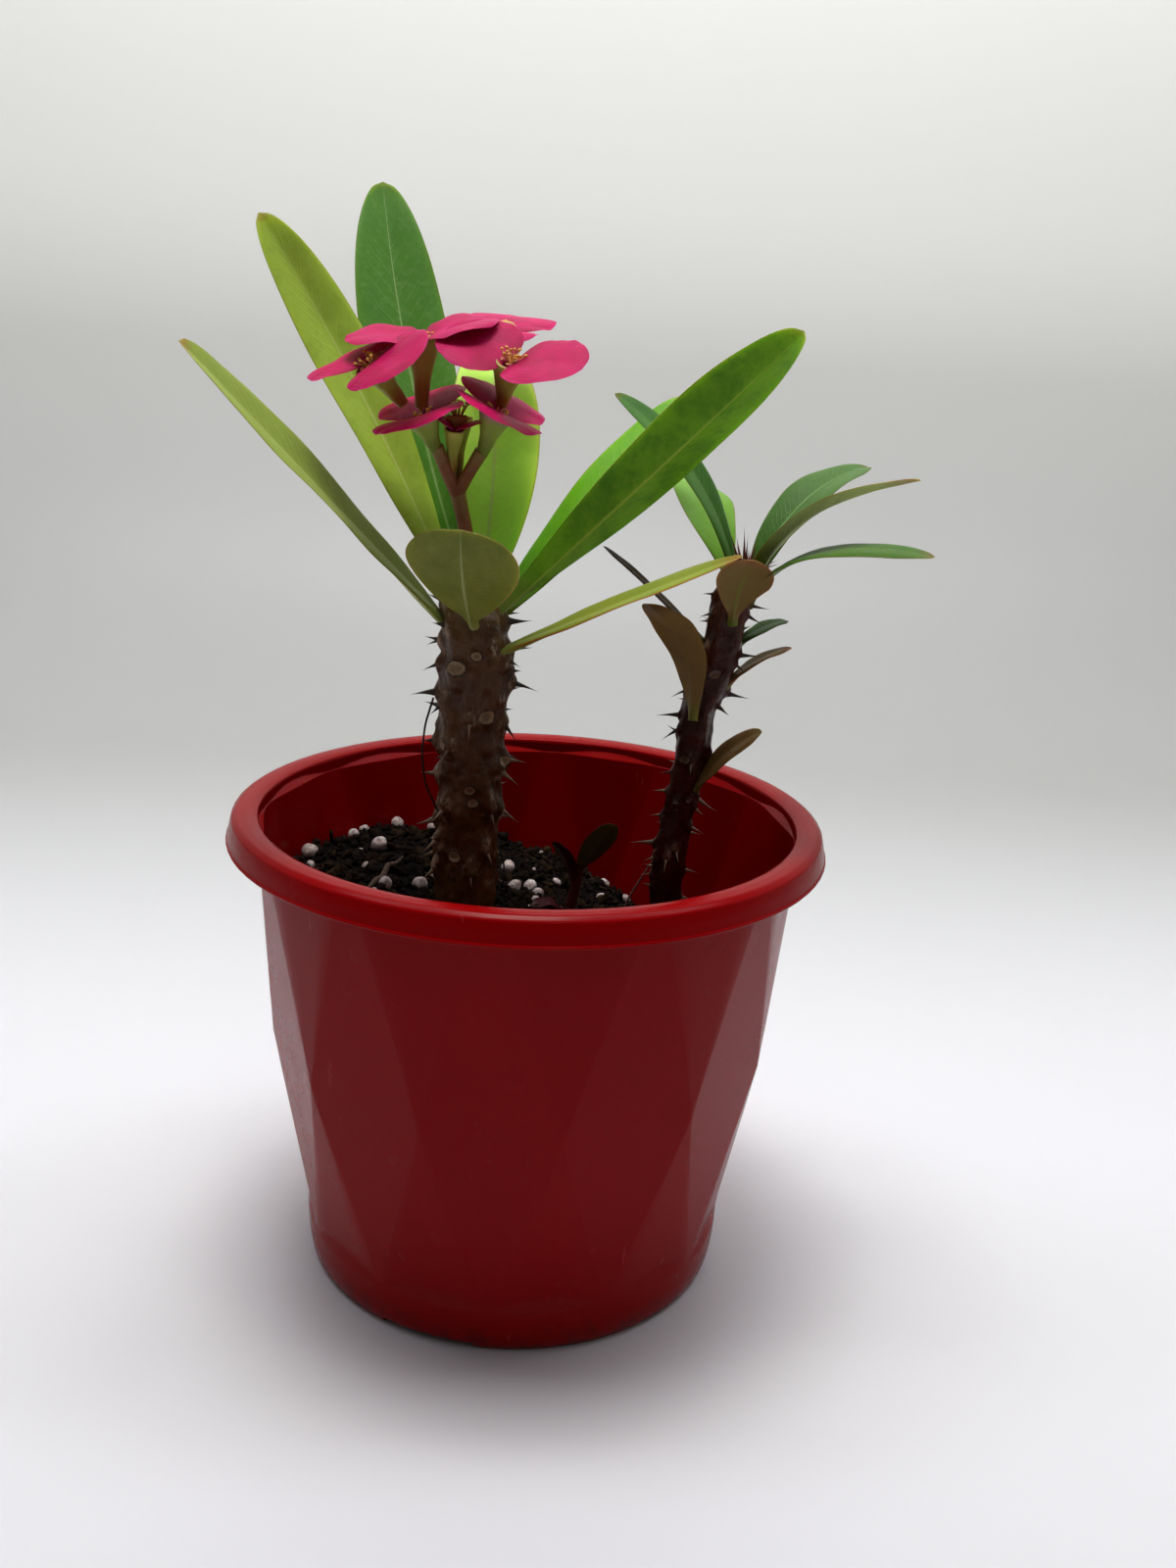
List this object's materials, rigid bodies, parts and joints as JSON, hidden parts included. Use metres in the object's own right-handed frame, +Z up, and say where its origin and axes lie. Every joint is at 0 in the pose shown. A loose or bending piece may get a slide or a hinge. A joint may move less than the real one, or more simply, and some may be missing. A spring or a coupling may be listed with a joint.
{
  "type": "potted euphorbia",
  "caption": "Thorny two-stemmed flowering plant with lance-shaped leaves and round pink bracts, growing in a faceted flared pot that stands on its flat foot.",
  "frame": {"origin": "centre of the pot's underside, on the surface that it stands on", "axes": "+Z up along the pot's axis; the plant's front faces -Y, and +X is to its viewer's right"},
  "size_m": [0.1545, 0.14, 0.253],
  "materials": {
    "pot_plastic": "saturated red moulded plastic, satin gloss, with fine scuffs",
    "potting_mix": "dark bark and peat mix, rough and matte",
    "perlite": "pale pinkish-white porous beads, matte",
    "thick_stem_bark": "brown-olive woody bark with pale leaf scars and tan spines",
    "thin_stem_bark": "dark red-brown ribbed skin with a faint gloss",
    "sprout_skin": "smooth dark red young skin",
    "green_leaf": "waxy vivid green with a pale midrib, faint veins and a thin red edge",
    "lime_leaf": "waxy yellow-green with a pale midrib and reddish tip",
    "bluish_leaf": "waxy bluish green with a pale midrib",
    "brown_leaf": "drying olive-brown leaf, creased",
    "red_leaf": "young dark red leaf",
    "flower_stalk_skin": "smooth reddish-brown stalk",
    "flower_cup_skin": "smooth green-brown skin, satin",
    "pink_bract": "velvety crimson-pink, paler towards the cup",
    "stamens": "golden yellow, matte",
    "straw": "dry brown fibre",
    "fallen_leaf": "dry dark red leaf"
  },
  "bodies": {
    "root": {"bract_a_1": "pink_bract", "bract_a_2": "pink_bract", "bract_b_1": "pink_bract", "bract_b_2": "pink_bract", "bract_bud_1": "pink_bract", "bract_bud_2": "pink_bract", "bract_c_1": "pink_bract", "bract_c_2": "pink_bract", "bract_d_1": "pink_bract", "bract_d_2": "pink_bract", "bract_e_1": "pink_bract", "bract_e_2": "pink_bract", "bract_f_1": "pink_bract", "bract_f_2": "pink_bract", "brown_leaf": "brown_leaf", "crown_leaf_back": "lime_leaf", "crown_leaf_drooping": "green_leaf", "crown_leaf_left": "bluish_leaf", "crown_leaf_long": "green_leaf", "crown_leaf_right": "bluish_leaf", "cup_a": "flower_cup_skin", "cup_b": "flower_cup_skin", "cup_bud": "flower_cup_skin", "cup_c": "flower_cup_skin", "cup_d": "flower_cup_skin", "cup_e": "flower_cup_skin", "cup_f": "flower_cup_skin", "cup_old": "flower_cup_skin", "fallen_leaf": "fallen_leaf", "flower_stalk": "flower_stalk_skin", "leaf_behind_right": "green_leaf", "leaf_big_right": "green_leaf", "leaf_far_left": "lime_leaf", "leaf_front": "green_leaf", "leaf_lime_back": "lime_leaf", "leaf_low_right": "lime_leaf", "leaf_tall_back": "green_leaf", "leaf_tall_left": "lime_leaf", "low_leaf": "brown_leaf", "main_stem": "thick_stem_bark", "pot": "pot_plastic", "round_leaf": "brown_leaf", "second_stem": "thin_stem_bark", "small_brown_leaf": "brown_leaf", "small_green_leaf": "green_leaf", "soil": "potting_mix", "sprout_leaf_green": "bluish_leaf", "sprout_leaf_red": "red_leaf", "sprout_stem": "sprout_skin", "stamens_c": "stamens", "stamens_e": "stamens", "stamens_old": "stamens", "straw": "straw", "thin_leaf": "brown_leaf"}
  },
  "joints": []
}
